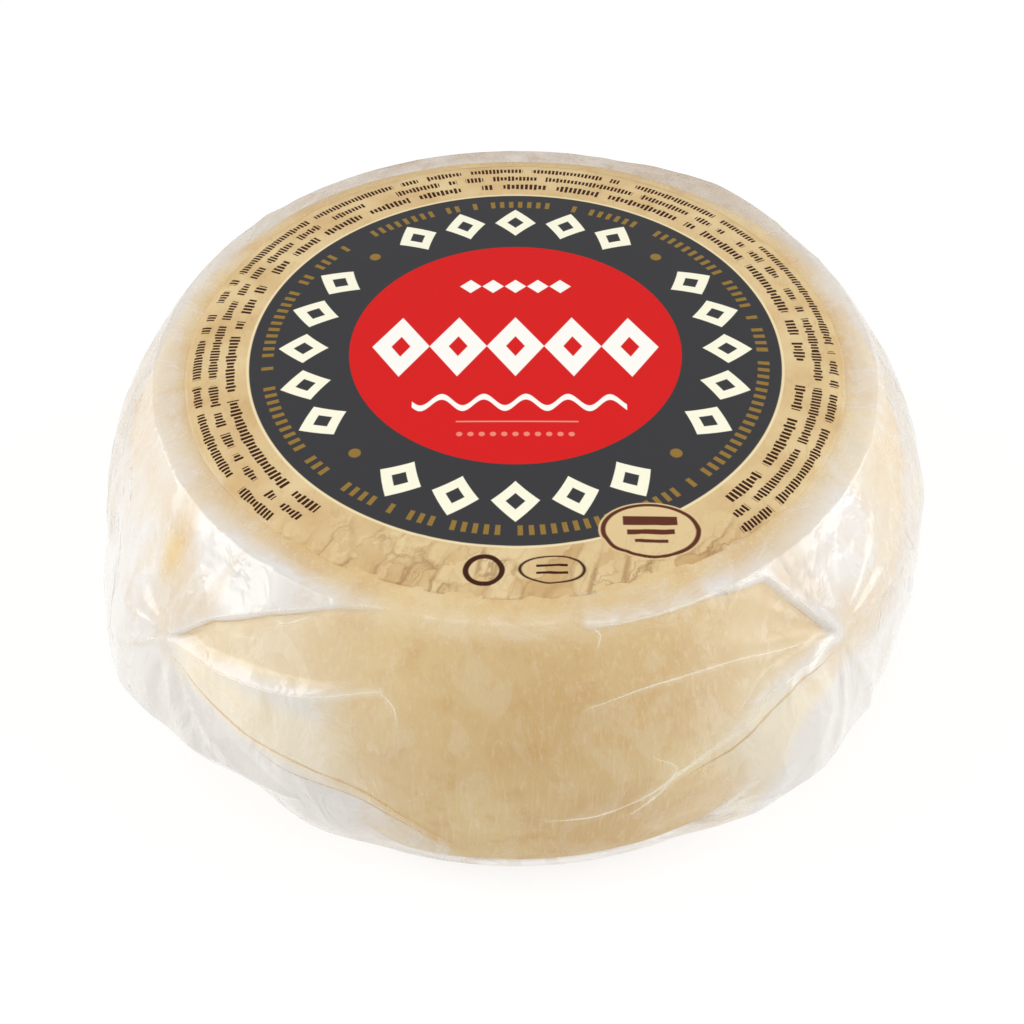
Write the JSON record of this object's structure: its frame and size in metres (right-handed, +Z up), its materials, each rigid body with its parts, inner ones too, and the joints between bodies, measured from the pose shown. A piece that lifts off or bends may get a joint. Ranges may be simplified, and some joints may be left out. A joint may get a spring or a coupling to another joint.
{
  "type": "wrapped sheep milk cheese wheel",
  "caption": "Whole round wheel of sheep milk cheese with bulging sides, a round paper label on its crown, sealed in loose clear film.",
  "frame": {"origin": "middle of the flat base that the wrapped wheel rests on", "axes": "+Z up through the crown; -Y is the front, where the label's lower edge lies"},
  "size_m": [0.1636, 0.1636, 0.0705],
  "materials": {
    "cheese": "pale cream to straw-coloured pressed cheese with a thin, faintly waxy rind",
    "label": "printed kraft paper, lightly crumpled",
    "film": "thin clear packing film, glossy and creased"
  },
  "bodies": {
    "root": {"cheese_wheel": "cheese", "round_label": "label", "clear_wrap": "film"}
  },
  "joints": []
}
